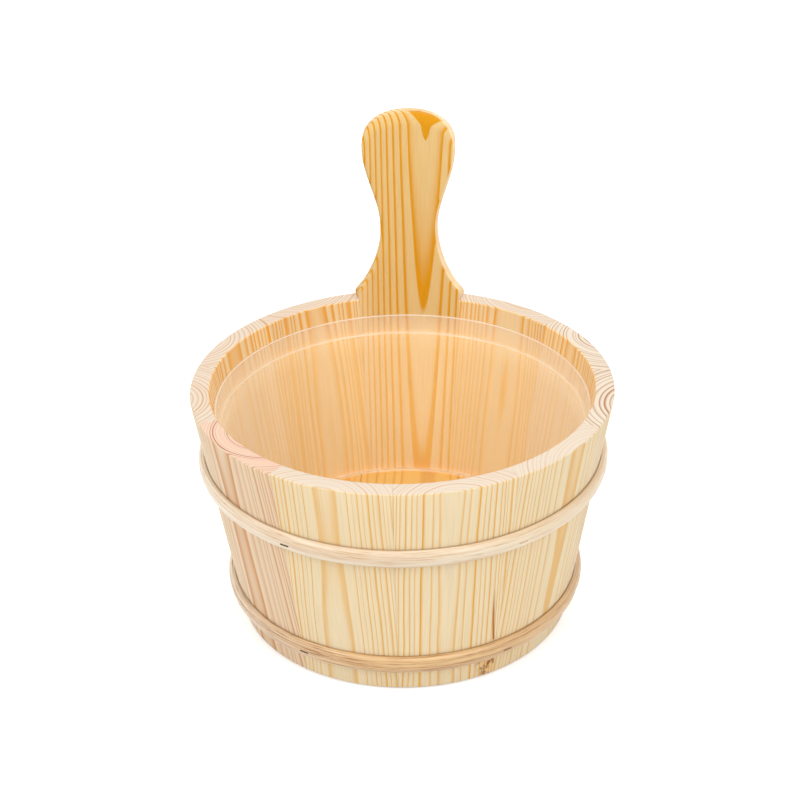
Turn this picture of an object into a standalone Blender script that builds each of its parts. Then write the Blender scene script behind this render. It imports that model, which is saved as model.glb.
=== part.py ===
"""A sauna bucket: a coopered pine tub with one long stave sawn into a handle.

Eleven staves stand edge to edge round a bottom of three boards, which sits in a groove near
their feet. Two bent half-round hoops, each scarfed to itself at the back and stapled to the
staves, hold them together. A clear liner stands loose inside and lifts straight out.
Lengths are in metres, +Z is up, and the handle stands on the +Y side.
"""

import math

import bmesh
import bpy
from mathutils import Vector

# Staves
STAVE_COUNT = 11
BODY_HEIGHT = 0.1482
RIM_RADIUS = 0.1250
FOOT_RADIUS = 0.1009
WALL = 0.0113
RIM_ROUND = 0.0011
FOOT_CHAMFER = 0.0010

# Handle, sawn from the long stave and measured up from the rim
HANDLE_RISE = 0.1180
BULB_RISE = 0.0970
NECK_RISE = 0.0450
SHOULDER_RISE = 0.0025
BULB_WIDTH = 0.0588
NECK_WIDTH = 0.0364
HANDLE_ROUND = 0.0025
CROWN_ROUND = 0.0038
CROWN_EASE = 0.0120
ROUND_RUN = 0.0120
CROWN_POWER = 2.3

# Bottom boards and the groove that holds them
BOTTOM_BOARDS = 3
BOTTOM_RISE = 0.0180
BOTTOM_THICKNESS = 0.0120
CROZE_DEPTH = 0.0040

# Hoops
HOOP_HEIGHT = 0.0115
HOOP_DEPTH = 0.0046
HOOP_LIP = 0.0008
UPPER_HOOP_DROP = 0.0394
LOWER_HOOP_TOP = 0.0270
SCARF_LENGTH = 0.0600

# Staples
STAPLES_PER_HOOP = 6
STAVES_PER_STAPLE = 2
STAPLE_TURN = math.radians(13.8)
STAPLE_WIDTH = 0.0055
STAPLE_COVER = 0.0020
WIRE_HEIGHT = 0.0012
WIRE_THICKNESS = 0.0007

# Liner
LINER_DROP = 0.0118
LINER_COLLAR = 0.0117
LINER_STEP = 0.0020
LINER_CORNER = 0.0080
LINER_SHEET = 0.0012

# Clearance between pieces that touch, and how finely curves are stepped
FIT_GAP = 0.0003
STEPS_PER_STAVE = 6
HANDLE_COLUMNS = 13
HANDLE_ROWS = 8
OUTLINE_POINTS = 120
ROUND_STEPS = 4
CORNER_STEPS = 6
HOOP_STEPS = 8
KERF_STEPS = 12
SMOOTH_ANGLE = math.radians(35)

# Sizes that follow from the ones above
STAVE_ANGLE = 2 * math.pi / STAVE_COUNT
TURN_STEPS = STAVE_COUNT * STEPS_PER_STAVE
LEAN = math.atan2(RIM_RADIUS - FOOT_RADIUS, BODY_HEIGHT)
HANDLE_TOP = BODY_HEIGHT + HANDLE_RISE
BOTTOM_TOP = BOTTOM_RISE + BOTTOM_THICKNESS
CUT_MARGIN = 3 * FIT_GAP


def outer_radius(z):
    """Outer radius of the tub at a height, also along the handle, which carries on its slope."""
    return FOOT_RADIUS + z * math.tan(LEAN)


def inner_radius(z):
    return outer_radius(z) - WALL


CROZE_RADIUS = inner_radius(BOTTOM_RISE + BOTTOM_THICKNESS / 2) + CROZE_DEPTH
GLUE_ANGLE = FIT_GAP / CROZE_RADIUS
HALF_STAVE = (STAVE_ANGLE - GLUE_ANGLE) / 2
UPPER_HOOP_TOP = BODY_HEIGHT - UPPER_HOOP_DROP
STAPLE_LENGTH = HOOP_DEPTH + FIT_GAP + WALL - CROZE_DEPTH - STAPLE_COVER


def clear_scene():
    for obj in list(bpy.data.objects):
        bpy.data.objects.remove(obj, do_unlink=True)


def new_collection(name):
    collection = bpy.data.collections.new(name)
    bpy.context.scene.collection.children.link(collection)
    return collection


def new_material(name, colour, roughness, metallic=0.0, alpha=1.0):
    material = bpy.data.materials.new(name)
    material.use_nodes = True
    shader = material.node_tree.nodes["Principled BSDF"]
    shader.inputs["Base Color"].default_value = (*colour, 1.0)
    shader.inputs["Roughness"].default_value = roughness
    shader.inputs["Metallic"].default_value = metallic
    shader.inputs["Alpha"].default_value = alpha
    return material


def new_piece(name, mesh, material, collection, parent):
    """A named object for one piece, standing under the empty that carries it."""
    if material.name not in mesh.materials:
        mesh.materials.append(material)
    obj = bpy.data.objects.new(name, mesh)
    collection.objects.link(obj)
    obj.parent = parent
    return obj


def new_empty(name, collection, parent=None):
    empty = bpy.data.objects.new(name, None)
    collection.objects.link(empty)
    empty.parent = parent
    return empty


def finish_mesh(bm, name):
    """Turns every face outward, smooths the round ones and hands the mesh over."""
    bmesh.ops.recalc_face_normals(bm, faces=bm.faces[:])
    mesh = bpy.data.meshes.new(name)
    bm.to_mesh(mesh)
    bm.free()
    mesh.shade_smooth()
    mesh.set_sharp_from_angle(angle=SMOOTH_ANGLE)
    return mesh


def wire_mesh(name, points, closed):
    """A profile of edges in the XZ plane, given as (radius, height), to be turned about Z."""
    edges = [(i, i + 1) for i in range(len(points) - 1)]
    if closed:
        edges.append((len(points) - 1, 0))
    mesh = bpy.data.meshes.new(name)
    mesh.from_pydata([(radius, 0.0, z) for radius, z in points], edges, [])
    return mesh


def add_turning(obj):
    screw = obj.modifiers.new("turned", "SCREW")
    screw.angle = 2 * math.pi
    screw.steps = TURN_STEPS
    screw.render_steps = TURN_STEPS
    screw.use_merge_vertices = True
    screw.merge_threshold = 0.00001
    screw.use_smooth_shade = True


def add_cut(obj, name, cutter=None, collection=None):
    cut = obj.modifiers.new(name, "BOOLEAN")
    cut.operation = "DIFFERENCE"
    cut.solver = "EXACT"
    if collection is None:
        cut.object = cutter
    else:
        cut.operand_type = "COLLECTION"
        cut.collection = collection


def arc(centre, radius, start, end, steps):
    """Points along an arc in the (radius, height) plane, both ends included."""
    points = []
    for i in range(steps + 1):
        angle = start + (end - start) * i / steps
        points.append((centre[0] + radius * math.cos(angle), centre[1] + radius * math.sin(angle)))
    return points


def stave_profile():
    """Cross-section of a plain stave as (radius, height): foot, outer face, round rim, groove."""
    rim_z = BODY_HEIGHT - RIM_ROUND
    points = [
        (inner_radius(0) + FOOT_CHAMFER, 0.0),
        (outer_radius(0) - FOOT_CHAMFER, 0.0),
        (outer_radius(FOOT_CHAMFER), FOOT_CHAMFER),
    ]
    points += arc((outer_radius(rim_z) - RIM_ROUND, rim_z), RIM_ROUND, 0, math.pi / 2, ROUND_STEPS)
    points += arc((inner_radius(rim_z) + RIM_ROUND, rim_z), RIM_ROUND, math.pi / 2, math.pi, ROUND_STEPS)
    for z, radius in reversed(groove_steps()):
        points.append((radius, z))
    points.append((inner_radius(FOOT_CHAMFER), FOOT_CHAMFER))
    return points


def groove_steps():
    """The four corners of the groove for the bottom, from the lowest up, as (height, radius)."""
    low = BOTTOM_RISE - FIT_GAP
    high = BOTTOM_TOP + FIT_GAP
    return [(low, inner_radius(low)), (low, CROZE_RADIUS), (high, CROZE_RADIUS), (high, inner_radius(high))]


def stave_mesh():
    """A plain stave, its section swept about the tub's axis and centred on +Y."""
    bm = bmesh.new()
    start = math.pi / 2 - HALF_STAVE
    section = [
        bm.verts.new((radius * math.cos(start), radius * math.sin(start), z)) for radius, z in stave_profile()
    ]
    bm.faces.new(section)
    bmesh.ops.spin(
        bm,
        geom=bm.verts[:] + bm.edges[:] + bm.faces[:],
        cent=(0.0, 0.0, 0.0),
        axis=(0.0, 0.0, 1.0),
        angle=2 * HALF_STAVE,
        steps=STEPS_PER_STAVE,
    )
    return finish_mesh(bm, "stave")


def handle_half_width(z):
    """Half the sawn width of the handle at a height above the rim."""
    neck = NECK_WIDTH / 2
    bulb = BULB_WIDTH / 2
    neck_z = BODY_HEIGHT + NECK_RISE
    bulb_z = BODY_HEIGHT + BULB_RISE
    if z < neck_z:
        run = NECK_RISE - SHOULDER_RISE
        flare = outer_radius(BODY_HEIGHT) * math.sin(HALF_STAVE) - neck
        sweep = (run * run + flare * flare) / (2 * flare)
        drop = min(neck_z - z, sweep)
        return neck + sweep - math.sqrt(sweep * sweep - drop * drop)
    if z < bulb_z:
        swell = (1 - math.cos(math.pi * (z - neck_z) / (bulb_z - neck_z))) / 2
        return neck + (bulb - neck) * swell
    rise = min((z - bulb_z) / (HANDLE_TOP - bulb_z), 1.0)
    return bulb * (1 - rise**CROWN_POWER) ** (1 / CROWN_POWER)


def handle_outline():
    """Points (half width, distance up the slope) along one side of the sawn handle."""
    points = []
    for i in range(OUTLINE_POINTS + 1):
        z = BODY_HEIGHT + HANDLE_RISE * math.sin(math.pi / 2 * i / OUTLINE_POINTS)
        points.append((handle_half_width(z), z / math.cos(LEAN)))
    return points


def edge_inset(x, z, outline):
    """How far the rounded edge draws the faces of the handle in at a point on them."""
    run = min(max((z - BODY_HEIGHT) / ROUND_RUN, 0.0), 1.0)
    bulb_z = BODY_HEIGHT + BULB_RISE
    crown = min(max((z - bulb_z) / (HANDLE_TOP - bulb_z), 0.0), 1.0)
    deep = (HANDLE_ROUND + (CROWN_ROUND - HANDLE_ROUND) * crown) * run
    wide = (HANDLE_ROUND + (CROWN_EASE - HANDLE_ROUND) * crown) * run
    here = (abs(x), z / math.cos(LEAN))
    gap = min(math.dist(here, point) for point in outline)
    if gap >= wide:
        return 0.0
    return deep * (1 - math.sqrt(1 - (1 - gap / wide) ** 2))


def handle_section(z, radius_in, radius_out, outline):
    """One level loop of the long stave: along its inner face, then back along its outer face."""
    half = handle_half_width(z) if z > BODY_HEIGHT else math.inf
    loop = []
    for radius, way, side in ((radius_in, 1, 1), (radius_out, -1, -1)):
        reach = min(half, radius * math.sin(HALF_STAVE))
        for i in range(HANDLE_COLUMNS):
            x = -way * reach * math.cos(math.pi * i / (HANDLE_COLUMNS - 1))
            inset = edge_inset(x, z, outline) if z > BODY_HEIGHT else 0.0
            loop.append(Vector((x, math.sqrt((radius + side * inset) ** 2 - x * x), z)))
    return loop


def handle_levels():
    """Heights of the loops above the rim, closer together where the outline turns faster."""
    levels = [BODY_HEIGHT + NECK_RISE * i / HANDLE_ROWS for i in range(HANDLE_ROWS)]
    swell = BULB_RISE - NECK_RISE
    levels += [BODY_HEIGHT + NECK_RISE + swell * i / HANDLE_ROWS for i in range(HANDLE_ROWS)]
    crown = HANDLE_RISE - BULB_RISE
    last = 2 * HANDLE_ROWS
    for i in range(last):
        levels.append(BODY_HEIGHT + BULB_RISE + crown * math.sin(math.pi / 2 * i / last))
    return levels


def handle_stave_mesh():
    """The long stave, lofted through level loops from its foot to the top of its handle."""
    outline = handle_outline()
    loops = [
        handle_section(0.0, inner_radius(0) + FOOT_CHAMFER, outer_radius(0) - FOOT_CHAMFER, outline),
        handle_section(FOOT_CHAMFER, inner_radius(FOOT_CHAMFER), outer_radius(FOOT_CHAMFER), outline),
    ]
    for z, radius in groove_steps():
        loops.append(handle_section(z, radius, outer_radius(z), outline))
    for z in handle_levels():
        loops.append(handle_section(z, inner_radius(z), outer_radius(z), outline))
    bm = bmesh.new()
    rings = [[bm.verts.new(point) for point in loop] for loop in loops]
    for low, high in zip(rings, rings[1:]):
        for i in range(len(low)):
            j = (i + 1) % len(low)
            bm.faces.new((low[i], low[j], high[j], high[i]))
    bm.faces.new(rings[0])
    bm.faces.new(rings[-1])
    return finish_mesh(bm, "handle_stave")


def bottom_board_mesh(index):
    """One board of the round bottom, cut from a disc by its two glue lines."""
    radius = CROZE_RADIUS - FIT_GAP
    width = 2 * radius / BOTTOM_BOARDS
    left = -radius + index * width
    bm = bmesh.new()
    bmesh.ops.create_cone(
        bm, cap_ends=True, segments=TURN_STEPS, radius1=radius, radius2=radius, depth=BOTTOM_THICKNESS
    )
    for side, x in ((-1, left + FIT_GAP / 2), (1, left + width - FIT_GAP / 2)):
        if abs(x) > radius - FIT_GAP:
            continue
        cut = bmesh.ops.bisect_plane(
            bm,
            geom=bm.verts[:] + bm.edges[:] + bm.faces[:],
            plane_co=(x, 0.0, 0.0),
            plane_no=(side, 0.0, 0.0),
            clear_outer=True,
        )
        sawn = [item for item in cut["geom_cut"] if isinstance(item, bmesh.types.BMEdge)]
        bmesh.ops.contextual_create(bm, geom=sawn)
    return finish_mesh(bm, "bottom_board")


def off_wall(z, out, up=0.0):
    """A (radius, height) point that stands off the wall at z, square to it, and up its slope."""
    radius = outer_radius(z) + out * math.cos(LEAN) + up * math.sin(LEAN)
    return radius, z - out * math.sin(LEAN) + up * math.cos(LEAN)


def hoop_middle(top):
    return top - HOOP_HEIGHT / 2 * math.cos(LEAN)


def hoop_profile(middle):
    """Half-round section of a hoop against the wall, down its outer side and up its back."""
    half = HOOP_HEIGHT / 2
    points = [off_wall(middle, FIT_GAP, half)]
    for i in range(HOOP_STEPS + 1):
        angle = math.pi / 2 - math.pi * i / HOOP_STEPS
        out = FIT_GAP + HOOP_LIP + (HOOP_DEPTH - HOOP_LIP) * math.cos(angle)
        points.append(off_wall(middle, out, half * math.sin(angle)))
    points.append(off_wall(middle, FIT_GAP, -half))
    return points


def scarf_cutter(name, middle, collection, parent):
    """A thin sheet that spirals from the back of a hoop out through its face, behind the handle."""
    reach = HOOP_HEIGHT / 2 + CUT_MARGIN
    span = SCARF_LENGTH / outer_radius(middle)
    depth = HOOP_DEPTH + 2 * CUT_MARGIN
    bm = bmesh.new()
    columns = []
    for i in range(KERF_STEPS + 1):
        share = i / KERF_STEPS
        angle = math.pi / 2 + span * (share - 0.5)
        out = FIT_GAP - CUT_MARGIN + depth * share
        column = []
        for up in (-reach, reach):
            radius, z = off_wall(middle, out, up)
            column.append(bm.verts.new((radius * math.cos(angle), radius * math.sin(angle), z)))
        columns.append(column)
    for near, far in zip(columns, columns[1:]):
        bm.faces.new((near[0], far[0], far[1], near[1]))
    cutter = bpy.data.objects.new(name, finish_mesh(bm, name))
    collection.objects.link(cutter)
    cutter.parent = parent
    sheet = cutter.modifiers.new("kerf", "SOLIDIFY")
    sheet.thickness = FIT_GAP
    sheet.offset = 0.0
    hide_cutter(cutter)
    return cutter


def hide_cutter(cutter):
    cutter.hide_render = True
    cutter.display_type = "WIRE"


def staple_outline(gap):
    """The U of a staple, crown out at +Y and legs in, grown by a gap all round."""
    out_x = STAPLE_WIDTH / 2 + gap
    in_x = STAPLE_WIDTH / 2 - WIRE_THICKNESS - gap
    crown = -WIRE_THICKNESS - gap
    tip = -STAPLE_LENGTH - gap
    return [
        (-out_x, gap),
        (-out_x, tip),
        (-in_x, tip),
        (-in_x, crown),
        (in_x, crown),
        (in_x, tip),
        (out_x, tip),
        (out_x, gap),
    ]


def staple_mesh(name, gap):
    """A staple, or the pocket for one, as its flat outline drawn out to the wire's height."""
    height = WIRE_HEIGHT + 2 * gap
    bm = bmesh.new()
    outline = bm.faces.new([bm.verts.new((x, y, -height / 2)) for x, y in staple_outline(gap)])
    drawn = bmesh.ops.extrude_face_region(bm, geom=[outline])
    lifted = [item for item in drawn["geom"] if isinstance(item, bmesh.types.BMVert)]
    bmesh.ops.translate(bm, verts=lifted, vec=(0.0, 0.0, height))
    return finish_mesh(bm, name)


def place_staple(obj, middle, angle):
    """Puts a staple's crown in the face of a hoop, square to the wall behind it."""
    radius, z = off_wall(middle, FIT_GAP + HOOP_DEPTH)
    obj.location = (radius * math.sin(angle), radius * math.cos(angle), z)
    obj.rotation_euler = (-LEAN, 0.0, -angle)


def liner_profile():
    """Outer face of the liner from its rim to the middle of its floor, as (radius, height)."""
    clear = FIT_GAP / math.cos(LEAN)
    rim_z = BODY_HEIGHT - LINER_DROP
    step_z = rim_z - LINER_COLLAR
    tub_z = step_z - LINER_STEP
    floor_z = BOTTOM_TOP + FIT_GAP
    bend_z = floor_z + LINER_CORNER
    bend_radius = inner_radius(bend_z) - clear - LINER_STEP - LINER_CORNER / math.cos(LEAN)
    points = [
        (inner_radius(rim_z) - clear, rim_z),
        (inner_radius(step_z) - clear, step_z),
        (inner_radius(tub_z) - clear - LINER_STEP, tub_z),
    ]
    points += arc((bend_radius, bend_z), LINER_CORNER, -LEAN, -math.pi / 2, CORNER_STEPS)
    points.append((0.0, floor_z))
    return points


def build_staves(materials, parts, pockets, bucket):
    long_stave = new_piece("handle_stave", handle_stave_mesh(), materials["handle"], parts, bucket)
    staves = [long_stave]
    plain = stave_mesh()
    for i in range(1, STAVE_COUNT):
        stave = new_piece(f"stave_{i:02d}", plain, materials["stave"], parts, bucket)
        stave.rotation_euler.z = -i * STAVE_ANGLE
        staves.append(stave)
    for stave in staves:
        add_cut(stave, "staple pockets", collection=pockets)
    return long_stave


def build_bottom(materials, parts, bucket):
    for i in range(BOTTOM_BOARDS):
        board = new_piece(f"bottom_board_{i + 1}", bottom_board_mesh(i), materials["bottom"], parts, bucket)
        board.location.z = BOTTOM_RISE + BOTTOM_THICKNESS / 2


def build_hoop(name, top, materials, parts, cutters, pockets, bucket):
    """A hoop, its scarf and the staples on every second stave, with a pocket cut for each staple."""
    middle = hoop_middle(top)
    mesh = wire_mesh(f"{name}_hoop", hoop_profile(middle), closed=True)
    hoop = new_piece(f"{name}_hoop", mesh, materials["hoop"], parts, bucket)
    add_turning(hoop)
    add_cut(hoop, "scarf", cutter=scarf_cutter(f"{name}_scarf", middle, cutters, bucket))
    add_cut(hoop, "staple pockets", collection=pockets)
    staple = staple_mesh("staple", 0.0)
    pocket = staple_mesh("staple_pocket", FIT_GAP)
    for i in range(STAPLES_PER_HOOP):
        angle = STAPLE_TURN + i * STAVES_PER_STAPLE * STAVE_ANGLE
        piece = new_piece(f"{name}_staple_{i + 1}", staple, materials["staple"], parts, bucket)
        place_staple(piece, middle, angle)
        cutter = bpy.data.objects.new(f"{name}_pocket_{i + 1}", pocket)
        pockets.objects.link(cutter)
        cutter.parent = bucket
        place_staple(cutter, middle, angle)
        hide_cutter(cutter)


def build_liner(materials, parts, bucket):
    lift = new_empty("liner_lift", parts, bucket)
    mesh = wire_mesh("liner", liner_profile(), closed=False)
    liner = new_piece("liner", mesh, materials["liner"], parts, lift)
    add_turning(liner)
    sheet = liner.modifiers.new("sheet", "SOLIDIFY")
    sheet.thickness = LINER_SHEET
    sheet.offset = -1.0
    sheet.use_even_offset = True


def main():
    clear_scene()
    parts = new_collection("sauna_bucket")
    cutters = new_collection("cutters")
    pockets = new_collection("staple_pockets")
    materials = {
        "stave": new_material("pine", (0.80, 0.60, 0.36), 0.55),
        "handle": new_material("handle_pine", (0.78, 0.52, 0.24), 0.50),
        "bottom": new_material("bottom_pine", (0.74, 0.52, 0.30), 0.60),
        "hoop": new_material("bent_wood", (0.72, 0.54, 0.36), 0.55),
        "staple": new_material("staple_steel", (0.20, 0.19, 0.18), 0.40, metallic=1.0),
        "liner": new_material("clear_plastic", (0.95, 0.92, 0.90), 0.08, alpha=0.25),
    }
    bucket = new_empty("bucket", parts)
    long_stave = build_staves(materials, parts, pockets, bucket)
    build_bottom(materials, parts, bucket)
    build_hoop("upper", UPPER_HOOP_TOP, materials, parts, cutters, pockets, bucket)
    build_hoop("lower", LOWER_HOOP_TOP, materials, parts, cutters, pockets, bucket)
    build_liner(materials, parts, bucket)
    handle_reach = max(vertex.co.y for vertex in long_stave.data.vertices)
    bucket.location.y = (RIM_RADIUS - handle_reach) / 2


main()
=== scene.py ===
import math

import bmesh
import bpy
from mathutils import Euler, Matrix, Vector, noise


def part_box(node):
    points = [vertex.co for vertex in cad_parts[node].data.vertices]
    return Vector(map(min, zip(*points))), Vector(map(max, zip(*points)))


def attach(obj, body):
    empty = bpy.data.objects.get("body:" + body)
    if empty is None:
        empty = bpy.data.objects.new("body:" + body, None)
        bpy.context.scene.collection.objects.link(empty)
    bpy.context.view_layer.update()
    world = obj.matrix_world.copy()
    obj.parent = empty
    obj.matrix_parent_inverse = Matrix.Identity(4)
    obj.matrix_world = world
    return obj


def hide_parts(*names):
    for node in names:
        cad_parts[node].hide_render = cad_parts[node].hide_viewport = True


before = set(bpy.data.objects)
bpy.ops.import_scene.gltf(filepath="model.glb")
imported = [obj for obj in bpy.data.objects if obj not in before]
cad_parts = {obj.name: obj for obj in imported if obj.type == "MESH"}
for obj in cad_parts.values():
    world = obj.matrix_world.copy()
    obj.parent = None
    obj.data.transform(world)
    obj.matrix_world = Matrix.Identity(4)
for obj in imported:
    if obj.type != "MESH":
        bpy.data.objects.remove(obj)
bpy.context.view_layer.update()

# Sizes in metres, shared with the solids
STAVE_COUNT = 11
STAVE_ANGLE = 2 * math.pi / STAVE_COUNT
RIM_RADIUS = 0.1250
FOOT_RADIUS = 0.1009
WALL = 0.0113
RIM_ROUND = 0.0011
FOOT_CHAMFER = 0.0010
HANDLE_RISE = 0.1180
BULB_RISE = 0.0970
NECK_RISE = 0.0450
SHOULDER_RISE = 0.0025
BULB_WIDTH = 0.0588
NECK_WIDTH = 0.0364
HANDLE_ROUND = 0.0025
CROWN_ROUND = 0.0038
CROWN_EASE = 0.0120
ROUND_RUN = 0.0120
CROWN_POWER = 2.3
BOTTOM_RISE = 0.0180
BOTTOM_THICKNESS = 0.0120
CROZE_DEPTH = 0.0040
HOOP_HEIGHT = 0.0115
HOOP_DEPTH = 0.0046
HOOP_LIP = 0.0008
UPPER_HOOP_DROP = 0.0394
LOWER_HOOP_TOP = 0.0270
SCARF_LENGTH = 0.0600
LINER_DROP = 0.0118
LINER_COLLAR = 0.0117
LINER_STEP = 0.0020
LINER_CORNER = 0.0080
LINER_SHEET = 0.0012
FIT_GAP = 0.0003

# Sizes of the visual pieces alone
GLUE_LINE = 0.00008
SCARF_SLACK = 0.0018
LINER_EYE = 0.0004
HOOP_SWAY = 0.00035
HOOP_ROUGHNESS = 0.00012

# Shares of a hoop's depth: how uneven it is, and what is left at the tips of its scarf
HOOP_SWELL = 0.06
HOOP_RIPPLE = 0.04
SCARF_TIP = 0.02

# Sizes that follow from the frame or from the ones above
BODY_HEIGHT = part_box("stave_05")[1].z
AXIS_Y = (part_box("liner")[0].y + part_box("liner")[1].y) / 2
LEAN = math.atan2(RIM_RADIUS - FOOT_RADIUS, BODY_HEIGHT)
HANDLE_TOP = BODY_HEIGHT + HANDLE_RISE
BOTTOM_TOP = BOTTOM_RISE + BOTTOM_THICKNESS

# Camera, fitted to the photograph: place and aim from the tub's axis at the floor
CAMERA_PLACE = Vector((0.0465, -0.9408, 0.6636))
CAMERA_AIM = Vector((-0.0014, 0.0, 0.1357))
CAMERA_ROLL = math.radians(-1.0)
CAMERA_LENS = 81.9
SENSOR = 36.0

# Floor and background
WHITE = (1.0, 1.0, 1.0, 1.0)
FLOOR_GREYS = ((0.76, 0.76, 0.76, 1.0), (0.80, 0.80, 0.80, 1.0))
FLOOR_GLOW = 0.45
FLOOR_RADIUS = 6.0
FLOOR_DROP = 0.0002
FILL_LIGHT = 0.69

# Lamps: place, aim, size and power
LAMPS = {
    "left": ((-1.0, -1.1, 1.5), (0.0, 0.0, 0.1), 1.2, 11.6),
    "right": ((1.0, -1.1, 1.5), (0.0, 0.0, 0.1), 1.2, 10.6),
    "top": ((0.0, -0.3, 2.0), (0.0, 0.0, 0.1), 1.0, 8.5),
    "back": ((0.3, 1.5, 1.0), (0.0, 0.0, 0.15), 1.0, 5.0),
}

# How finely the shapes are stepped
STAVE_COLUMNS = 30
HANDLE_COLUMNS = 41
HANDLE_ROWS = 34
HOOP_COLUMNS = 420
HOOP_STEPS = 18
LINER_COLUMNS = 176
COLLAR_ROWS = 4
STEP_ROWS = 3
FLOOR_ROWS = 8
INNER_ROWS = 8
OUTER_ROWS = 10
EDGE_STEPS = 8
CORNER_STEPS = 12
OUTLINE_POINTS = 400


def outer_radius(z):
    return FOOT_RADIUS + z * math.tan(LEAN)


def inner_radius(z):
    return outer_radius(z) - WALL


CROZE_RADIUS = inner_radius(BOTTOM_RISE + BOTTOM_THICKNESS / 2) + CROZE_DEPTH
HALF_STAVE = (STAVE_ANGLE - GLUE_LINE / CROZE_RADIUS) / 2


# Colours


def tone(red, green, blue):
    """A colour given as it looks on screen, 0 to 255, as the linear values that shaders take."""
    values = []
    for level in (red, green, blue):
        share = level / 255
        values.append(share / 12.92 if share <= 0.04045 else ((share + 0.055) / 1.055) ** 2.4)
    return (*values, 1.0)


# Shader helpers


class Nodes:
    """A short way to add and link shader nodes in one material or world."""

    def __init__(self, owner):
        owner.use_nodes = True
        self.owner = owner
        self.tree = owner.node_tree
        self.shader = self.tree.nodes.get("Principled BSDF")

    def add(self, kind, settings=None, **inputs):
        node = self.tree.nodes.new(kind)
        for key, value in (settings or {}).items():
            setattr(node, key, value)
        for key, value in inputs.items():
            self.feed(node.inputs[int(key[1:])], value)
        return node

    def feed(self, socket, value):
        if isinstance(value, bpy.types.NodeSocket):
            self.tree.links.new(value, socket)
        else:
            socket.default_value = value

    def math(self, operation, a, b=0.0, c=0.0, clamp=False):
        node = self.add("ShaderNodeMath", {"operation": operation, "use_clamp": clamp}, i0=a, i1=b, i2=c)
        return node.outputs[0]

    def vector(self, operation, a, b=(0.0, 0.0, 0.0)):
        node = self.add("ShaderNodeVectorMath", {"operation": operation}, i0=a, i1=b)
        return node.outputs["Value"] if operation == "LENGTH" else node.outputs["Vector"]

    def noise(self, vector, scale, detail=2.0, roughness=0.5):
        node = self.add("ShaderNodeTexNoise")
        self.feed(node.inputs["Vector"], vector)
        node.inputs["Scale"].default_value = scale
        node.inputs["Detail"].default_value = detail
        node.inputs["Roughness"].default_value = roughness
        return node

    def ramp(self, value, stops):
        """Greys of a value between stops, each a (place, level)."""
        node = self.add("ShaderNodeValToRGB", i0=value)
        elements = node.color_ramp.elements
        while len(elements) < len(stops):
            elements.new(0.5)
        for element, (place, level) in zip(elements, stops):
            element.position = place
            element.color = (level, level, level, 1.0)
        return node.outputs["Color"]

    def mix(self, share, a, b, blend="MIX"):
        node = self.add("ShaderNodeMix", {"data_type": "RGBA", "blend_type": blend})
        self.feed(node.inputs[0], share)
        self.feed(node.inputs[6], a)
        self.feed(node.inputs[7], b)
        return node.outputs[2]

    def part(self, vector, axis):
        return self.add("ShaderNodeSeparateXYZ", i0=vector).outputs[axis]

    def bump(self, height, strength, distance):
        node = self.add("ShaderNodeBump")
        node.inputs["Strength"].default_value = strength
        node.inputs["Distance"].default_value = distance
        self.feed(node.inputs["Height"], height)
        self.feed(self.shader.inputs["Normal"], node.outputs["Normal"])


# Materials

EARLY = tone(235, 218, 183)
LATE = tone(227, 163, 42)
ENDS = (tone(217, 202, 183), tone(200, 150, 106))
DARK_ENDS = (tone(220, 206, 187), tone(168, 116, 74))
KNOT = tone(140, 84, 34)
SHAKE = tone(168, 104, 40)
# Pale tone painted on the side of a stave that faces +X: painted light
SIDE_LIGHT_TONE = tone(248, 220, 178)
# Dark brown painted as shade: under the staves' foot and along the hoops' edges against the wall
CONTACT_SHADE = tone(150, 106, 58)
# Pale tone painted on the hoops' left side, seen edge on: painted sheen
HOOP_SHEEN = tone(248, 236, 214)
HOOP_TAN = tone(222, 188, 140)
BOARD_TONES = (tone(238, 184, 84), tone(220, 150, 46))
LINER_MILK = tone(255, 240, 217)
# White of the painted highlight lines along the liner's lip and at its collar step
LINER_EDGE_HIGHLIGHT = tone(255, 249, 244)
# Warm white of the painted highlight line round the liner floor's corner
LINER_FOOT_HIGHLIGHT = tone(255, 234, 190)
RING_STOPS = [(0.0, 0.03), (0.50, 0.05), (0.70, 0.40), (0.80, 0.95), (0.93, 1.0), (1.0, 0.03)]
FINE_STOPS = [(0.0, 0.03), (0.60, 0.05), (0.76, 0.40), (0.85, 0.85), (0.95, 0.90), (1.0, 0.03)]
GOLD_STOPS = [(0.0, 0.02), (0.50, 0.06), (0.65, 0.25), (0.74, 0.95), (0.95, 1.0), (1.0, 0.02)]
BROAD_STOPS = [(0.0, 0.04), (0.35, 0.08), (0.62, 0.38), (0.78, 0.80), (0.87, 1.0), (0.96, 1.0), (1.0, 0.04)]
STREAK_STOPS = [(0.0, 0.05), (0.30, 0.06), (0.50, 0.60), (0.70, 0.85), (0.90, 0.75), (1.0, 0.10)]
SOFT_STOPS = [(0.0, 0.25), (0.06, 0.05), (0.34, 0.05), (0.62, 0.50), (0.78, 0.95), (0.90, 1.0), (1.0, 0.25)]


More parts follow.
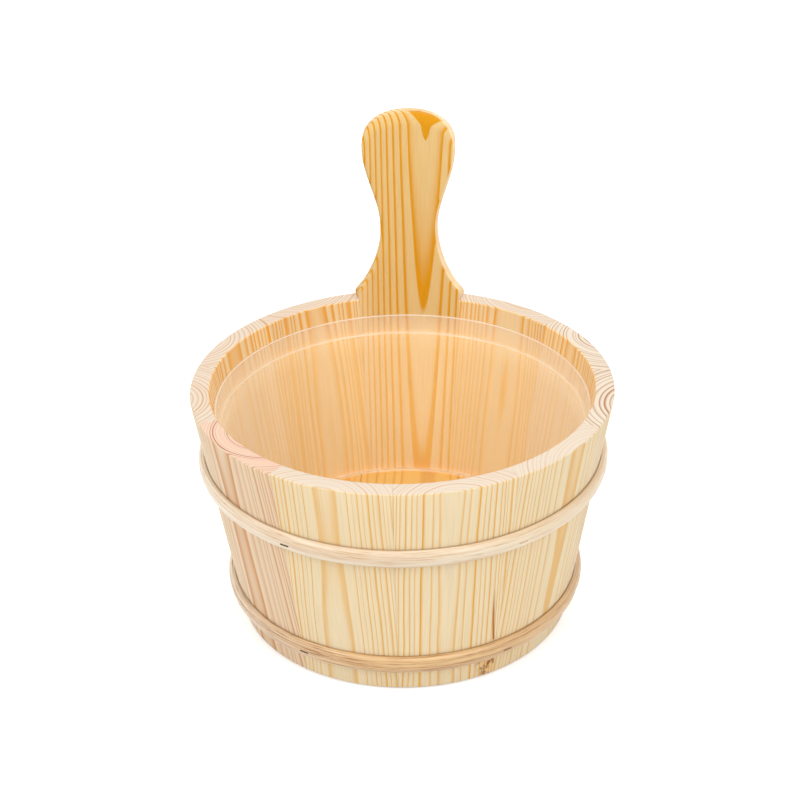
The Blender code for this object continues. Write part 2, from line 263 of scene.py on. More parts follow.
def flaws(n, place, wood, knots, shakes):
    """Speckled knots at (across, height, size), and dark hair cracks at (across, foot, head, bow)."""
    across = n.part(place, "X")
    height = n.part(place, "Z")
    speckle = n.noise(place, 230.0, 2.0, 0.6).outputs["Fac"]
    for x, z, size in knots:
        wide = n.math("DIVIDE", n.math("SUBTRACT", across, x), size)
        tall = n.math("DIVIDE", n.math("SUBTRACT", height, z), size * 1.6)
        reach = n.math("SQRT", n.math("ADD", n.math("MULTIPLY", wide, wide), n.math("MULTIPLY", tall, tall)))
        inside = n.ramp(reach, [(0.35, 1.0), (1.0, 0.0)])
        flecks = n.ramp(speckle, [(0.46, 0.0), (0.57, 1.0)])
        wood = n.mix(n.math("MULTIPLY", inside, 0.35), wood, LATE)
        wood = n.mix(n.math("MULTIPLY", inside, n.math("MULTIPLY", flecks, 0.9)), wood, KNOT)
    for x, foot, head, bow in shakes:
        run = n.math("DIVIDE", n.math("SUBTRACT", height, foot), head - foot)
        left = n.math("SUBTRACT", 1.0, run)
        curve = n.math("MULTIPLY", n.math("MULTIPLY", left, left), bow)
        off = n.math("ABSOLUTE", n.math("SUBTRACT", n.math("SUBTRACT", across, x), curve))
        line = n.ramp(n.math("MULTIPLY", off, 1000.0), [(0.3, 1.0), (1.2, 0.0)])
        ends = n.ramp(run, [(0.0, 0.0), (0.05, 1.0), (0.55, 0.9), (1.0, 0.0)])
        wood = n.mix(n.math("MULTIPLY", line, ends), wood, SHAKE)
    return wood


def growth_rings(n, board, rings, seed, start, vary, waves):
    """The year of growth at each place in a board, and how far that year has gone, 0 to 1."""
    drift = n.vector("MULTIPLY", board, (14.0, 14.0, 5.5))
    drift = n.vector("ADD", drift, (seed * 3.7, seed * 1.3, seed * 2.1))
    wave = n.noise(drift, 1.0, 2.0, 0.45).outputs["Color"]
    wave = n.vector("SUBTRACT", wave, (0.5, 0.5, 0.5))
    wave = n.vector("MULTIPLY", wave, (waves * 4, waves * 4, 0.0))
    bent = n.vector("ADD", board, wave)
    radius = n.vector("LENGTH", n.vector("MULTIPLY", bent, (1.0, 1.0, 0.0)))
    years = n.math("DIVIDE", radius, rings)
    spread = n.add("ShaderNodeTexNoise", {"noise_dimensions": "1D"})
    n.feed(spread.inputs["W"], n.math("ADD", n.math("MULTIPLY", years, 0.37), seed * 11.0))
    spread.inputs["Scale"].default_value = 1.0
    years = n.math("ADD", n.math("ADD", years, start), n.math("MULTIPLY", spread.outputs["Fac"], vary))
    return n.math("FLOOR", years), n.math("FRACT", years)


def pine(
    name, pith, lean, rings, seed, early=EARLY, late=LATE, ends=ENDS,
    start=0.0, vary=1.7, waves=0.0016, firm=0.6, stops=RING_STOPS, broad=None, solid=None,
    inward_face=None, inward_face_top=None, veiled_and_lit=None, side_light=0.0, knots=(), shakes=(),
):
    """Pine cut round its pith: growth rings are tubes about an axis that may lie outside the board.

    pith is a point on that axis and lean its turn about X and Y, in the piece's own frame;
    rings is the width of a year's growth, start the growth at the pith, in years, and vary how
    unevenly the years follow each other. ends are the tones of the cut ends, side_light says how
    much paler, as painted light, the side that faces +X is, firm how dark the faintest year's
    late wood is, and stops how the tone goes from early to late wood within a year. broad is a
    year with stops that it and the years before it take instead; years before solid are all late
    wood on the face turned to -Y.
    inward_face gives early and late tones of that face, up to the height inward_face_top where that
    is given, and veiled_and_lit those of the part behind the liner, reached over the height of its
    collar: paler and softer for the liner's veil, and brighter as painted light that lifts the
    shade deep in the tub.
    """
    n = Nodes(bpy.data.materials.new(name))
    turn = Euler((lean[0], lean[1], 0.0))
    spot = n.add("ShaderNodeTexCoord")
    place = n.add("ShaderNodeMapping")
    n.feed(place.inputs["Vector"], spot.outputs["Object"])
    place.inputs["Location"].default_value = -(turn.to_matrix() @ Vector(pith))
    place.inputs["Rotation"].default_value = turn
    board = place.outputs["Vector"]
    height = n.part(spot.outputs["Object"], "Z")

    year, growth = growth_rings(n, board, rings, seed, start, vary, waves)
    luck = n.add("ShaderNodeTexWhiteNoise", {"noise_dimensions": "1D"})
    n.feed(luck.inputs["W"], n.math("ADD", year, seed * 17.0))
    strength = n.math("MULTIPLY_ADD", luck.outputs["Value"], 1.0 - firm, firm)
    band = n.ramp(growth, stops)
    normal = n.add("ShaderNodeSeparateXYZ", i0=spot.outputs["Normal"])
    inward = n.ramp(n.math("MULTIPLY_ADD", normal.outputs["Y"], -0.5, 0.5), [(0.4, 0.0), (0.6, 1.0)])
    if broad:
        band = n.mix(n.math("LESS_THAN", year, broad[0] + 0.5), band, n.ramp(growth, broad[1]))
    if solid:
        before = n.math("LESS_THAN", year, solid - 0.5)
        band = n.math("MAXIMUM", band, n.math("MULTIPLY", before, inward))
    dark = n.math("MULTIPLY", band, strength)

    fibre_place = n.vector("MULTIPLY", board, (1500.0, 1500.0, 26.0))
    fibre = n.noise(fibre_place, 1.0, 3.0, 0.6).outputs["Fac"]
    patch_place = n.vector("ADD", n.vector("MULTIPLY", board, (26.0, 26.0, 7.0)), (seed, seed * 2.0, 0.0))
    patch = n.noise(patch_place, 1.0, 3.0, 0.55).outputs["Fac"]

    wood = n.mix(dark, early, late)
    if inward_face:
        # Behind the liner the inner face turns to paler, brighter tones: the liner's veil, and painted light
        # that lifts the shade deep in the tub
        sunk = n.math("MULTIPLY", n.math("SUBTRACT", BODY_HEIGHT - LINER_DROP, height), 1 / LINER_COLLAR)
        covered = n.ramp(sunk, [(0.0, 0.0), (1.0, 1.0)])
        inside = n.mix(covered, n.mix(dark, *inward_face), n.mix(dark, *veiled_and_lit))
        if inward_face_top:
            under = n.math("MULTIPLY", n.math("SUBTRACT", inward_face_top, height), 1 / LINER_COLLAR)
            inward = n.math("MULTIPLY", inward, n.ramp(under, [(0.0, 0.0), (1.0, 1.0)]))
        wood = n.mix(inward, wood, inside)

    shade = n.ramp(fibre, [(0.25, 0.90), (0.55, 1.0), (0.8, 1.03)])
    wood = n.mix(1.0, wood, shade, "MULTIPLY")
    warm = n.ramp(patch, [(0.35, 0.0), (0.75, 1.0)])
    plain = n.math("MULTIPLY", n.math("SUBTRACT", 1.0, dark), 0.30)
    wood = n.mix(n.math("MULTIPLY", warm, plain), wood, n.mix(0.4, early, late))
    wood = flaws(n, spot.outputs["Object"], wood, knots, shakes)

    along = turn.to_matrix().transposed() @ Vector((0.0, 0.0, 1.0))
    facing = n.add("ShaderNodeVectorMath", {"operation": "DOT_PRODUCT"}, i0=spot.outputs["Normal"], i1=along)
    cut_end = n.ramp(n.math("ABSOLUTE", facing.outputs["Value"]), [(0.55, 0.0), (0.92, 1.0)])
    wood = n.mix(cut_end, wood, n.mix(n.math("POWER", dark, 2.1), *ends))
    # Painted shade: faces that look down, low on the stave, are painted dark as the shade under its foot
    painted_foot_shade = n.ramp(n.math("MULTIPLY", normal.outputs["Z"], -1.0), [(0.35, 0.0), (0.6, 0.6)])
    painted_foot_shade = n.math("MULTIPLY", painted_foot_shade, n.math("LESS_THAN", height, BOTTOM_RISE / 2))
    wood = n.mix(painted_foot_shade, wood, CONTACT_SHADE)
    # Painted light: the side that faces +X is painted paler, as if lit from that side
    if side_light:
        side = n.ramp(normal.outputs["X"], [(0.18, 0.0), (0.42, side_light)])
        wood = n.mix(side, wood, SIDE_LIGHT_TONE)

    n.feed(n.shader.inputs["Base Color"], wood)
    n.feed(n.shader.inputs["Roughness"], n.math("MULTIPLY_ADD", fibre, 0.22, 0.46))
    n.shader.inputs["Specular IOR Level"].default_value = 0.06
    n.shader.inputs["Sheen Weight"].default_value = 0.14
    n.shader.inputs["Sheen Roughness"].default_value = 0.35
    relief = n.math("ADD", n.math("MULTIPLY", dark, 0.35), n.math("MULTIPLY", fibre, 0.6))
    n.bump(relief, 0.2, 0.0002)
    return n.owner


def bent_wood(name, seed, pale, dark):
    """Split and scraped hoop wood, with fine streaks that follow the strip round the tub."""
    n = Nodes(bpy.data.materials.new(name))
    strip = n.add("ShaderNodeAttribute", {"attribute_name": "strip"}).outputs["Vector"]
    strip = n.vector("ADD", strip, (seed, seed * 0.37, 0.0))
    broad = n.noise(n.vector("MULTIPLY", strip, (7.0, 420.0, 420.0)), 1.0, 3.0, 0.6).outputs["Fac"]
    fine = n.noise(n.vector("MULTIPLY", strip, (45.0, 1500.0, 1500.0)), 1.0, 3.0, 0.65).outputs["Fac"]
    cloud = n.noise(n.vector("MULTIPLY", strip, (12.0, 60.0, 60.0)), 1.0, 3.0, 0.5).outputs["Fac"]
    streak = n.ramp(broad, [(0.36, 1.0), (0.5, 0.30), (0.62, 0.0)])
    thread = n.ramp(fine, [(0.34, 1.0), (0.46, 0.2), (0.56, 0.0)])
    share = n.math("ADD", n.math("MULTIPLY", streak, 0.50), n.math("MULTIPLY", thread, 0.75), clamp=True)
    across = n.part(n.add("ShaderNodeTexCoord").outputs["Object"], "X")
    aside = n.math("MULTIPLY_ADD", across, 0.5 / RIM_RADIUS, 0.5)
    # Painted sheen: the hoop's left side, seen edge on, is painted paler, and its dark patches fade there
    painted_sheen = n.ramp(aside, [(0.10, 0.65), (0.42, 0.0)])
    wood = n.mix(share, n.mix(painted_sheen, pale, HOOP_SHEEN), dark)
    patch = n.math("MULTIPLY", n.ramp(cloud, [(0.4, 0.0), (0.75, 1.0)]), 0.30)
    wood = n.mix(n.math("MULTIPLY", patch, n.math("SUBTRACT", 1.0, painted_sheen)), wood, dark)
    wood = n.mix(n.ramp(aside, [(0.60, 0.0), (0.95, 0.45)]), wood, HOOP_TAN)
    # Painted shade: a dark line where the strip lies thin against the wall, along the hoop's edges
    painted_contact_line = n.ramp(n.math("MULTIPLY", n.part(strip, "Z"), 1000.0), [(0.4, 0.6), (0.9, 0.0)])
    wood = n.mix(painted_contact_line, wood, CONTACT_SHADE)
    n.feed(n.shader.inputs["Base Color"], wood)
    n.feed(n.shader.inputs["Roughness"], n.math("MULTIPLY_ADD", fine, 0.20, 0.22))
    n.shader.inputs["Specular IOR Level"].default_value = 0.6
    n.shader.inputs["Sheen Weight"].default_value = 0.14
    n.shader.inputs["Sheen Roughness"].default_value = 0.35
    n.bump(n.math("ADD", broad, n.math("MULTIPLY", fine, 0.6)), 0.35, 0.0004)
    return n.owner


def clear_plastic():
    """Thin clear sheet with a faint milky haze that thickens where it is seen edge on."""
    n = Nodes(bpy.data.materials.new("clear_plastic"))
    spot = n.add("ShaderNodeTexCoord")
    slope = n.add("ShaderNodeLayerWeight", i0=0.35).outputs["Facing"]
    cloud = n.noise(spot.outputs["Object"], 40.0, 2.0).outputs["Fac"]
    haze = n.math("MULTIPLY_ADD", n.math("POWER", slope, 1.2), 0.42, 0.07)
    haze = n.math("ADD", haze, n.math("MULTIPLY", cloud, 0.03), clamp=True)
    height = n.part(spot.outputs["Object"], "Z")
    below = n.math("MULTIPLY", n.math("SUBTRACT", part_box("liner")[1].z, height), 1 / LINER_COLLAR)
    # Painted highlights: thin white lines of denser haze along the lip and at the collar's step
    edge = n.ramp(below, [(0.0, 0.36), (0.02, 0.32), (0.045, 0.0), (0.96, 0.0), (0.98, 0.22), (1.0, 0.22)])
    step = n.ramp(n.math("SUBTRACT", below, 1.0), [(0.0, 0.22), (0.03, 0.2), (0.06, 0.0)])
    collar = n.math("LESS_THAN", below, 1.0)
    edge = n.math("MINIMUM", edge, n.math("ADD", step, collar))
    # Painted highlight: a thin warm white line of denser haze round the floor's corner, on the faces that
    # look up
    foot = n.math("MULTIPLY", n.math("SUBTRACT", height, BOTTOM_TOP), 1 / LINER_CORNER)
    foot = n.ramp(foot, [(0.24, 0.0), (0.29, 0.36), (0.34, 0.30), (0.40, 0.0)])
    up = n.part(spot.outputs["Normal"], "Z")
    foot = n.math("MULTIPLY", foot, n.math("GREATER_THAN", up, 0.0))
    glint = n.mix(n.math("GREATER_THAN", foot, 0.0), LINER_EDGE_HIGHLIGHT, LINER_FOOT_HIGHLIGHT)
    edge = n.math("MAXIMUM", edge, foot)
    haze = n.math("ADD", haze, n.math("MULTIPLY_ADD", collar, 0.07, edge), clamp=True)
    flat = n.ramp(n.math("ABSOLUTE", up), [(0.6, 0.0), (0.95, 1.0)])
    haze = n.math("MULTIPLY", haze, n.math("MULTIPLY_ADD", flat, -0.7, 1.0))
    lit = n.math("SUBTRACT", 1.0, n.add("ShaderNodeLightPath").outputs["Is Shadow Ray"])
    n.feed(n.shader.inputs["Alpha"], n.math("MULTIPLY", haze, lit))
    n.feed(n.shader.inputs["Base Color"], n.mix(edge, LINER_MILK, glint))
    n.feed(n.shader.inputs["Roughness"], n.math("MULTIPLY_ADD", cloud, 0.08, 0.10))
    n.shader.inputs["IOR"].default_value = 1.5
    n.shader.inputs["Specular IOR Level"].default_value = 0.8
    return n.owner


def staple_wire(name, dark, pale):
    n = Nodes(bpy.data.materials.new(name))
    rust = n.noise(n.add("ShaderNodeTexCoord").outputs["Object"], 900.0, 3.0).outputs["Fac"]
    n.feed(n.shader.inputs["Base Color"], n.mix(rust, dark, pale))
    n.feed(n.shader.inputs["Roughness"], n.math("MULTIPLY_ADD", rust, 0.3, 0.35))
    n.shader.inputs["Metallic"].default_value = 0.85
    return n.owner


# Shapes


def arc(centre, radius, start, end, steps):
    points = []
    for i in range(steps + 1):
        angle = start + (end - start) * i / steps
        points.append((centre[0] + radius * math.cos(angle), centre[1] + radius * math.sin(angle)))
    return points


def new_object(name, bm, material, smooth_angle=40.0):
    bmesh.ops.recalc_face_normals(bm, faces=bm.faces[:])
    mesh = bpy.data.meshes.new(name)
    bm.to_mesh(mesh)
    bm.free()
    mesh.shade_smooth()
    mesh.set_sharp_from_angle(angle=math.radians(smooth_angle))
    mesh.materials.append(material)
    obj = bpy.data.objects.new(name, mesh)
    bpy.context.scene.collection.objects.link(obj)
    return obj


def loft(loops, capped=True, closed=False):
    """Joins closed loops of points, all of one length, into a skin."""
    bm = bmesh.new()
    rings = [[bm.verts.new(point) for point in loop] for loop in loops]
    pairs = list(zip(rings, rings[1:]))
    if closed:
        pairs.append((rings[-1], rings[0]))
    for low, high in pairs:
        for i in range(len(low)):
            j = (i + 1) % len(low)
            bm.faces.new((low[i], low[j], high[j], high[i]))
    if capped:
        bm.faces.new(rings[0])
        bm.faces.new(rings[-1])
    return bm


def straight(start, end, steps):
    """Points from start up to, but not including, end."""
    return [
        tuple(a + (b - a) * i / steps for a, b in zip(start, end)) for i in range(steps)
    ]


def groove_steps():
    low = BOTTOM_RISE - FIT_GAP
    high = BOTTOM_TOP + FIT_GAP
    return [(low, inner_radius(low)), (low, CROZE_RADIUS), (high, CROZE_RADIUS), (high, inner_radius(high))]


def stave_profile():
    """Section of a plain stave as (radius, height), with enough points to bend smoothly."""
    rim_z = BODY_HEIGHT - RIM_ROUND
    groove = [(radius, z) for z, radius in reversed(groove_steps())]
    rim_out = arc((outer_radius(rim_z) - RIM_ROUND, rim_z), RIM_ROUND, 0, math.pi / 2, EDGE_STEPS)
    rim_in = arc((inner_radius(rim_z) + RIM_ROUND, rim_z), RIM_ROUND, math.pi / 2, math.pi, EDGE_STEPS)
    foot_out = (outer_radius(FOOT_CHAMFER), FOOT_CHAMFER)
    foot_in = (inner_radius(FOOT_CHAMFER), FOOT_CHAMFER)
    points = [(inner_radius(0) + FOOT_CHAMFER, 0.0), (outer_radius(0) - FOOT_CHAMFER, 0.0)]
    points += straight(foot_out, rim_out[0], OUTER_ROWS)
    points += rim_out + rim_in
    points += straight(rim_in[-1], groove[0], INNER_ROWS)[1:]
    points += groove
    points.append(foot_in)
    return points


def plain_stave(name, material):
    """A stave swept about the tub's axis and centred on +Y."""
    profile = stave_profile()
    loops = []
    for i in range(STAVE_COLUMNS + 1):
        angle = math.pi / 2 + HALF_STAVE * (2 * i / STAVE_COLUMNS - 1)
        loops.append([(r * math.cos(angle), r * math.sin(angle), z) for r, z in profile])
    return new_object(name, loft(loops), material)


def handle_half_width(z):
    """Half the sawn width of the handle at a height above the rim."""
    neck = NECK_WIDTH / 2
    bulb = BULB_WIDTH / 2
    neck_z = BODY_HEIGHT + NECK_RISE
    bulb_z = BODY_HEIGHT + BULB_RISE
    if z < neck_z:
        run = NECK_RISE - SHOULDER_RISE
        flare = outer_radius(BODY_HEIGHT) * math.sin(HALF_STAVE) - neck
        sweep = (run * run + flare * flare) / (2 * flare)
        drop = min(neck_z - z, sweep)
        return neck + sweep - math.sqrt(sweep * sweep - drop * drop)
    if z < bulb_z:
        swell = (1 - math.cos(math.pi * (z - neck_z) / (bulb_z - neck_z))) / 2
        return neck + (bulb - neck) * swell
    rise = min((z - bulb_z) / (HANDLE_TOP - bulb_z), 1.0)
    return bulb * (1 - rise**CROWN_POWER) ** (1 / CROWN_POWER)


def handle_outline():
    points = []
    for i in range(OUTLINE_POINTS + 1):
        z = BODY_HEIGHT + HANDLE_RISE * math.sin(math.pi / 2 * i / OUTLINE_POINTS)
        points.append((handle_half_width(z), z / math.cos(LEAN)))
    return points


def edge_inset(x, z, outline):
    """How far the rounded edge draws the faces of the handle in at a point on them."""
    run = min(max((z - BODY_HEIGHT) / ROUND_RUN, 0.0), 1.0)
    bulb_z = BODY_HEIGHT + BULB_RISE
    crown = min(max((z - bulb_z) / (HANDLE_TOP - bulb_z), 0.0), 1.0)
    deep = (HANDLE_ROUND + (CROWN_ROUND - HANDLE_ROUND) * crown) * run
    wide = (HANDLE_ROUND + (CROWN_EASE - HANDLE_ROUND) * crown) * run
    here = (abs(x), z / math.cos(LEAN))
    gap = min(math.dist(here, point) for point in outline)
    if gap >= wide:
        return 0.0
    return deep * (1 - math.sqrt(1 - (1 - gap / wide) ** 2))


def handle_section(z, radius_in, radius_out, outline):
    """One level loop of the long stave: along its inner face, then back along its outer face."""
    half = handle_half_width(z) if z > BODY_HEIGHT else math.inf
    loop = []
    for radius, way, side in ((radius_in, 1, 1), (radius_out, -1, -1)):
        reach = min(half, radius * math.sin(HALF_STAVE))
        for i in range(HANDLE_COLUMNS):
            x = -way * reach * math.cos(math.pi * i / (HANDLE_COLUMNS - 1))
            inset = edge_inset(x, z, outline) if z > BODY_HEIGHT else 0.0
            loop.append((x, math.sqrt((radius + side * inset) ** 2 - x * x), z))
    return loop


def handle_stave(name, material):
    outline = handle_outline()
    neck_z = BODY_HEIGHT + NECK_RISE
    bulb_z = BODY_HEIGHT + BULB_RISE
    foot = FOOT_CHAMFER
    loops = [handle_section(0.0, inner_radius(0) + foot, outer_radius(0) - foot, outline)]
    loops.append(handle_section(foot, inner_radius(foot), outer_radius(foot), outline))
    for z, radius in groove_steps():
        loops.append(handle_section(z, radius, outer_radius(z), outline))
    inner_rise = BODY_HEIGHT - BOTTOM_TOP
    levels = [BOTTOM_TOP + inner_rise * i / INNER_ROWS for i in range(1, INNER_ROWS)]
    levels += [BODY_HEIGHT + NECK_RISE * i / HANDLE_ROWS for i in range(HANDLE_ROWS)]
    levels += [neck_z + (bulb_z - neck_z) * i / HANDLE_ROWS for i in range(HANDLE_ROWS)]
    crown = HANDLE_RISE - BULB_RISE
    last = 2 * HANDLE_ROWS
    levels += [bulb_z + crown * math.sin(math.pi / 2 * i / last) for i in range(last)]
    for z in levels:
        loops.append(handle_section(z, inner_radius(z), outer_radius(z), outline))
    return new_object(name, loft(loops), material)


def off_wall(z, out, up=0.0):
    """A (radius, height) point that stands off the wall at z, square to it, and up its slope."""
    radius = outer_radius(z) + out * math.cos(LEAN) + up * math.sin(LEAN)
    return radius, z - out * math.sin(LEAN) + up * math.cos(LEAN)


def hoop_section():
    """Half-round section of a hoop as (out, up) off the wall."""
    half = HOOP_HEIGHT / 2
    points = [(0.0, half)]
    for i in range(HOOP_STEPS + 1):
        angle = math.pi / 2 - math.pi * i / HOOP_STEPS
        points.append((HOOP_LIP + (HOOP_DEPTH - HOOP_LIP) * math.cos(angle), half * math.sin(angle)))
    points.append((0.0, -half))
    return points


def hoop(name, top, seed, material):
    """A strip bent once round the tub, its two ends cut to a long slope and lapped at the back."""
    middle = top - HOOP_HEIGHT / 2 * math.cos(LEAN)
    span = SCARF_LENGTH * HOOP_DEPTH / (HOOP_DEPTH + SCARF_SLACK) / outer_radius(middle)
    section = hoop_section()
    loops = []
    strip = []
    for i in range(HOOP_COLUMNS + 1):
        turn = (2 * math.pi + span) * i / HOOP_COLUMNS - span / 2
        angle = math.pi / 2 + turn
        under = min((turn + span / 2) / span, 1.0)
        over = max((turn - 2 * math.pi + span / 2) / span, 0.0)
        ring = Vector((math.cos(angle), math.sin(angle), seed))
        swell = 1.0 + HOOP_SWELL * noise.noise(ring * 6.0) + HOOP_RIPPLE * noise.noise(ring * 23.0)
        sway = HOOP_SWAY * noise.noise(ring * 2.5)
        loop = []
        for out, up in section:
            spot = Vector((ring.x * 14.0, ring.y * 14.0, seed + up * 900.0))
            rough = HOOP_ROUGHNESS * noise.noise(spot)
            proud = out * swell + rough if out > 0 else 0.0
            proud = min(max(proud, HOOP_DEPTH * over), HOOP_DEPTH * max(under, SCARF_TIP))
            radius, z = off_wall(middle, FIT_GAP + proud, up + sway)
            loop.append((radius * math.cos(angle), radius * math.sin(angle), z))
            strip.append((turn * outer_radius(middle), up, proud))
        loops.append(loop)
    obj = new_object(name, loft(loops), material, smooth_angle=50.0)
    layer = obj.data.attributes.new("strip", "FLOAT_VECTOR", "POINT")
    for item, value in zip(layer.data, strip):
        item.vector = value
    return obj


def liner_half(shift):
    """One face of the liner from rim to floor as (radius, height), moved in by shift."""
    clear = FIT_GAP / math.cos(LEAN) + shift / math.cos(LEAN)
    rim_z = BODY_HEIGHT - LINER_DROP
    step_z = rim_z - LINER_COLLAR
    tub_z = step_z - LINER_STEP
    floor_z = BOTTOM_TOP + FIT_GAP + shift
    corner = LINER_CORNER - shift
    bend_z = floor_z + corner
    bend_radius = inner_radius(bend_z) - clear - LINER_STEP - corner / math.cos(LEAN)
    rim = (inner_radius(rim_z) - clear, rim_z)
    shelf = (inner_radius(step_z) - clear, step_z)
    tub = (inner_radius(tub_z) - clear - LINER_STEP, tub_z)
    bend = arc((bend_radius, bend_z), corner, -LEAN, -math.pi / 2, CORNER_STEPS)
    middle = (LINER_EYE, floor_z)
    points = straight(rim, shelf, COLLAR_ROWS)
    points += straight(shelf, tub, STEP_ROWS)
    points += straight(tub, bend[0], OUTER_ROWS)
    points += bend
    points += straight(bend[-1], middle, FLOOR_ROWS)[1:]
    points.append(middle)
    return points


def liner(name, material):
    """The turned liner: outer face, floor, inner face and a round lip that joins them."""
    outer = liner_half(0.0)
    inner = liner_half(LINER_SHEET)
    lip_radius = (outer[0][0] - inner[0][0]) / 2
    lip = arc((outer[0][0] - lip_radius, outer[0][1]), lip_radius, math.pi, 0.0, EDGE_STEPS)[1:-1]
    profile = outer + list(reversed(inner)) + lip
    loops = []
    for i in range(LINER_COLUMNS):
        angle = 2 * math.pi * i / LINER_COLUMNS
        loops.append([(r * math.cos(angle), r * math.sin(angle), z) for r, z in profile])
    return new_object(name, loft(loops, capped=False, closed=True), material, smooth_angle=60.0)


# Pieces

PINK_EARLY = tone(234, 213, 183)
PINK_LATE = tone(208, 146, 92)
PINK_ENDS = (tone(226, 194, 170), tone(166, 100, 74))
GOLD_EARLY = tone(222, 190, 132)
GOLD_LATE = tone(213, 144, 0)
GOLD_ENDS = (tone(240, 208, 158), tone(212, 146, 66))
# Inner face tones, with paler, brighter ones behind the liner that are partly painted light
WARM = {
    "inward_face": (tone(247, 223, 177), tone(238, 163, 26)),
    "veiled_and_lit": (tone(253, 227, 187), tone(251, 206, 124)),
    "firm": 0.75,
    "stops": SOFT_STOPS,
}
BACK = {
    **WARM,
    "inward_face": (tone(238, 212, 166), tone(232, 158, 36)),
    "veiled_and_lit": (tone(252, 220, 162), tone(250, 193, 80)),
}
# Paler outside tones of the two staves seen edge on, at the right and the left: painted sheen
EDGE_ON_SHEEN = {"early": tone(236, 222, 195), "late": tone(224, 180, 112)}

# Timber of each stave, from the long one on and clockwise from above. A pith lies so far to the
# left of the stave's middle, seen from outside, and so far out from its outer face at PITH_LEVEL.
# Its lean is in degrees.
PITH_LEVEL = 0.075
TIMBER = [
    # The long stave, with one cathedral that runs down its face from the bulb, and its +X side painted paler
    # as painted light
    {"pith": (0.0105, 0.0166), "lean": (-1.44, -0.85), "rings": 0.0031, "start": -2.635, "vary": 0.0,
     "waves": 0.0004, "early": GOLD_EARLY, "late": GOLD_LATE, "ends": GOLD_ENDS, "side_light": 0.8,
     "firm": 0.95, "stops": GOLD_STOPS, "broad": (5, BROAD_STOPS), "solid": 5,
     # Inner face tones, brighter behind the liner as painted light
     "inward_face": (tone(240, 210, 150), tone(238, 160, 14)), "inward_face_top": BODY_HEIGHT - LINER_DROP,
     "veiled_and_lit": (tone(251, 219, 161), tone(245, 180, 14))},
    {"pith": (0.0040, 0.0180), "lean": (0.3, 0.5), "rings": 0.0020, **BACK},
    {"pith": (-0.0030, 0.0140), "lean": (0.2, -0.5), "rings": 0.0026, "ends": DARK_ENDS, **WARM},
    # Right side, seen edge on: outside painted paler as sheen
    {"pith": (0.0060, 0.0240), "lean": (0.5, 0.4), "rings": 0.0032, "ends": DARK_ENDS, **EDGE_ON_SHEEN, **WARM},
    # Right front, with the golden streak
    {"pith": (-0.0120, 0.0300), "lean": (0.3, -0.3), "rings": 0.0024, "start": 1.30,
     "stops": FINE_STOPS, "broad": (14, SOFT_STOPS)},
    # Front, right of the middle joint, with the knot and the crack
    {"pith": (0.0030, 0.0200), "lean": (-0.4, 0.4), "rings": 0.0024,
     "knots": [(-0.0239, 0.0095, 0.0084)], "shakes": [(-0.0255, 0.0270, 0.0700, -0.0018)]},
    # Front, left of the middle joint, with a broad soft band
    {"pith": (0.0038, 0.0220), "lean": (0.6, 0.6), "rings": 0.0023, "start": 0.55,
     "stops": FINE_STOPS, "broad": (11, STREAK_STOPS)},
    # Left front, the pinkish one
    {"pith": (0.0040, -0.0330), "lean": (0.0, -0.6), "rings": 0.0016, "start": 1.22, "firm": 0.45,
     "waves": 0.0005, "stops": SOFT_STOPS, "early": PINK_EARLY, "late": PINK_LATE, "ends": PINK_ENDS},
    # Left side, seen edge on: outside painted paler as sheen
    {"pith": (-0.0060, 0.0180), "lean": (0.6, 0.3), "rings": 0.0026, **EDGE_ON_SHEEN, **WARM},
    {"pith": (-0.0090, 0.0160), "lean": (-0.5, -0.7), "rings": 0.0027, "start": 0.45, **WARM},
    {"pith": (0.0040, 0.0200), "lean": (0.3, 0.6), "rings": 0.0021, **BACK},
]

# Boards of the bottom: the piths lie side by side below them, along Y
BOARD_PITCH = 0.065
BOARD_SHIFT = 0.010
BOARD_PITH_DROP = 0.012
BOARD_RINGS = 0.003
BOARD_SEED = 20.0

# Hoops: height of the top edge, seed, pale and dark tone
HOOPS = {
    "upper": (BODY_HEIGHT - UPPER_HOOP_DROP, 1.0, tone(237, 226, 204), tone(204, 168, 128)),
    "lower": (LOWER_HOOP_TOP, 5.0, tone(226, 190, 138), tone(156, 100, 46)),
}

# Staple wire: dark and pale tone
WIRES = {
    "upper_wire": (tone(48, 34, 26), tone(110, 84, 62)),
    "lower_wire": (tone(40, 28, 22), tone(92, 68, 50)),
    "bright_wire": (tone(176, 146, 116), tone(220, 192, 158)),
    "dull_wire": (tone(116, 90, 64), tone(160, 130, 96)),
}
ODD_STAPLES = {"upper_staple_3": "bright_wire", "lower_staple_3": "dull_wire"}


def stave_timber(index):
    timber = dict(TIMBER[index])
    across, out = timber.pop("pith")
    tilt, sway = timber.pop("lean")
    pith = (across, outer_radius(PITH_LEVEL) + out, PITH_LEVEL)
    lean = (LEAN + math.radians(tilt), math.radians(sway))
    return pine(f"pine_{index:02d}", pith, lean, seed=index + 1.0, **timber)


def settle(piece, body, slot, *nodes):
    """A piece stands for CAD nodes: it rides their body, and the nodes are hidden."""
    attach(piece, body)
    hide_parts(*nodes)


def make_staves():
    for i in range(STAVE_COUNT):
        material = stave_timber(i)
        node = "handle_stave" if i == 0 else f"stave_{i:02d}"
        piece = handle_stave("long_stave", material) if i == 0 else plain_stave(f"board_{i:02d}", material)
        piece.location.y = AXIS_Y
        piece.rotation_euler.z = -i * STAVE_ANGLE
        settle(piece, "bucket", "handle_pine" if i == 0 else "pine", node)


def make_hoops():
    for name, (top, seed, pale, dark) in HOOPS.items():
        material = bent_wood(f"{name}_hoop_wood", seed, pale, dark)
        piece = hoop(f"{name}_strip", top, seed, material)
        piece.location.y = AXIS_Y
        settle(piece, "bucket", "bent_wood", f"{name}_hoop")


def make_liner():
    piece = liner("liner_shell", clear_plastic())
    piece.location.y = AXIS_Y
    settle(piece, "liner", "clear_plastic", "liner")


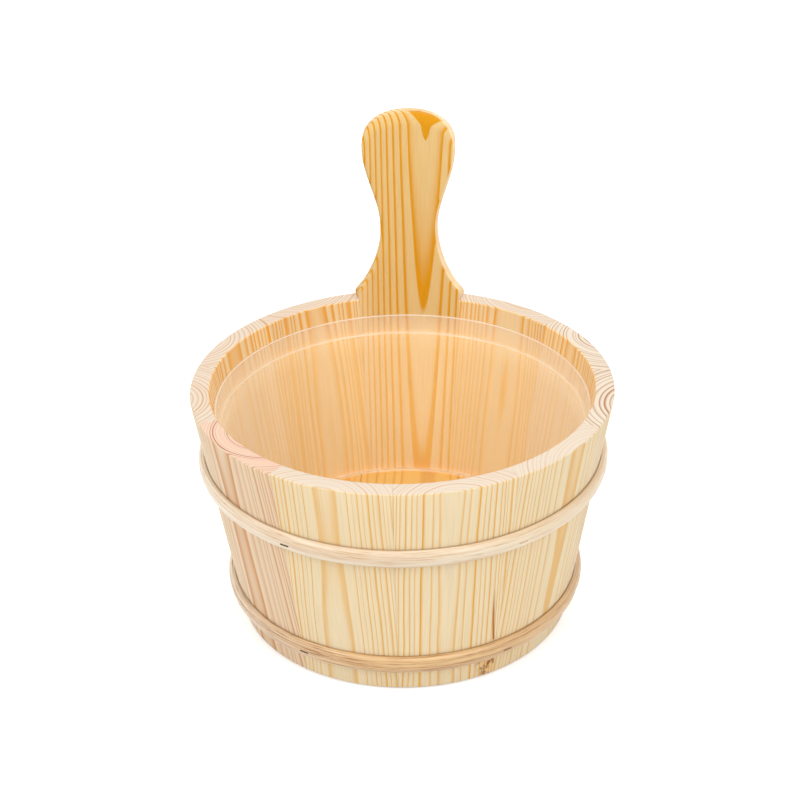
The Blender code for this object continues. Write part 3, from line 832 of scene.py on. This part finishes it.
def board_timber(number):
    pith = ((number - 2) * BOARD_PITCH + BOARD_SHIFT, AXIS_Y, -BOARD_PITH_DROP)
    level = (math.pi / 2, 0.0)
    return pine(f"bottom_pine_{number}", pith, level, BOARD_RINGS, BOARD_SEED + number, *BOARD_TONES)


def dress(obj, material):
    obj.data.materials.clear()
    obj.data.materials.append(material)


def dress_nodes():
    """Better materials for the CAD pieces that are shown as they are."""
    wires = {name: staple_wire(name, *tones) for name, tones in WIRES.items()}
    for name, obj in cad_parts.items():
        if "staple" in name:
            row = name.split("_")[0]
            dress(obj, wires[ODD_STAPLES.get(name, f"{row}_wire")])
        if name.startswith("bottom_board"):
            dress(obj, board_timber(int(name[-1])))


# Stage, light and camera


def in_view(n):
    """1 for rays that the camera sees, also in gloss or through the liner, and 0 for light on the part."""
    path = n.add("ShaderNodeLightPath")
    seen = n.math("ADD", path.outputs["Is Camera Ray"], path.outputs["Is Glossy Ray"])
    return n.math("ADD", seen, path.outputs["Is Transmission Ray"], clamp=True)


def floor_paint():
    """Pale grey as a surface that lights the part, lifted to near white where it is in view."""
    n = Nodes(bpy.data.materials.new("floor"))
    grain = n.noise(n.add("ShaderNodeTexCoord").outputs["Object"], 60.0, 2.0).outputs["Fac"]
    n.feed(n.shader.inputs["Base Color"], n.mix(grain, *FLOOR_GREYS))
    n.shader.inputs["Roughness"].default_value = 0.9
    n.shader.inputs["Specular IOR Level"].default_value = 0.0
    n.shader.inputs["Emission Color"].default_value = WHITE
    n.feed(n.shader.inputs["Emission Strength"], n.math("MULTIPLY", in_view(n), FLOOR_GLOW))
    return n.owner


def make_stage():
    bm = bmesh.new()
    bmesh.ops.create_circle(bm, cap_ends=True, segments=64, radius=FLOOR_RADIUS)
    floor = new_object("floor", bm, floor_paint())
    floor.location.z = -FLOOR_DROP


def make_world():
    """White where it is in view, and dimmer as the light that fills the shadows."""
    world = bpy.data.worlds.new("studio")
    bpy.context.scene.world = world
    n = Nodes(world)
    background = n.tree.nodes["Background"]
    background.inputs["Color"].default_value = WHITE
    level = n.math("MULTIPLY_ADD", in_view(n), 1.0 - FILL_LIGHT, FILL_LIGHT)
    n.feed(background.inputs["Strength"], level)


def make_lamp(name, place, aim, size, power):
    data = bpy.data.lights.new(name, "AREA")
    data.shape = "DISK"
    data.size = size
    data.energy = power
    lamp = bpy.data.objects.new(name, data)
    bpy.context.scene.collection.objects.link(lamp)
    lamp.location = place
    lamp.rotation_euler = (Vector(aim) - Vector(place)).to_track_quat("-Z", "Y").to_euler()


def make_camera():
    data = bpy.data.cameras.new("camera")
    data.lens = CAMERA_LENS
    data.sensor_width = SENSOR
    camera = bpy.data.objects.new("camera", data)
    bpy.context.scene.collection.objects.link(camera)
    axis = Vector((0.0, AXIS_Y, 0.0))
    look = (CAMERA_AIM - CAMERA_PLACE).to_track_quat("-Z", "Y").to_matrix().to_4x4()
    turn = Matrix.Rotation(CAMERA_ROLL, 4, "Z")
    camera.matrix_world = Matrix.Translation(axis + CAMERA_PLACE) @ look @ turn
    bpy.context.scene.camera = camera


def main():
    bpy.context.scene.view_settings.view_transform = "Standard"
    make_camera()
    make_staves()
    make_hoops()
    make_liner()
    dress_nodes()
    make_stage()
    make_world()
    for name, lamp in LAMPS.items():
        make_lamp(name, *lamp)


main()
